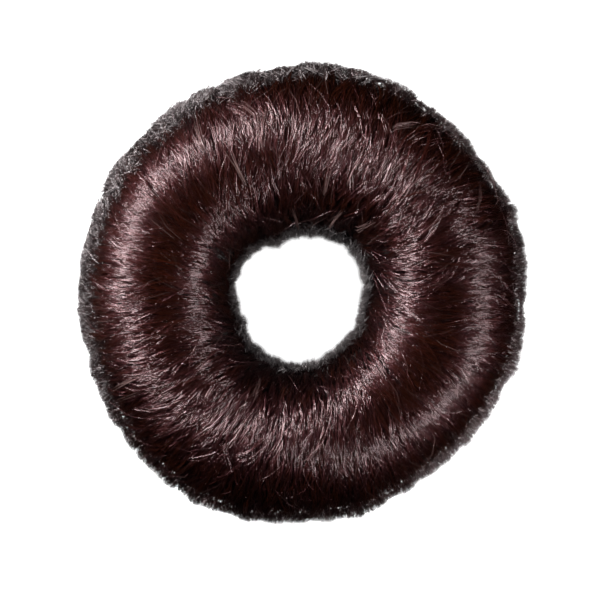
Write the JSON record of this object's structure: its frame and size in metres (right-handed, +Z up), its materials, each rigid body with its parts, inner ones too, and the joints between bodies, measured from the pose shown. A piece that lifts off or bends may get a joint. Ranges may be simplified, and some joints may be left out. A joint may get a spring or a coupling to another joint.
{
  "type": "hair bun pad",
  "caption": "Soft ring-shaped pad covered in short combed synthetic fibre; a ponytail is drawn through its hole and spread over it to form a full bun.",
  "frame": {"origin": "middle of the bounding box, on the surface that the ring rests on", "axes": "+Z up through the hole, +X to the right and +Y away, as seen from above"},
  "size_m": [0.0896, 0.092, 0.03],
  "materials": {
    "fibre": "dark brown synthetic fibre, short, combed flat, glossy"
  },
  "bodies": {
    "root": {"fibre_ring": "fibre"}
  },
  "joints": []
}
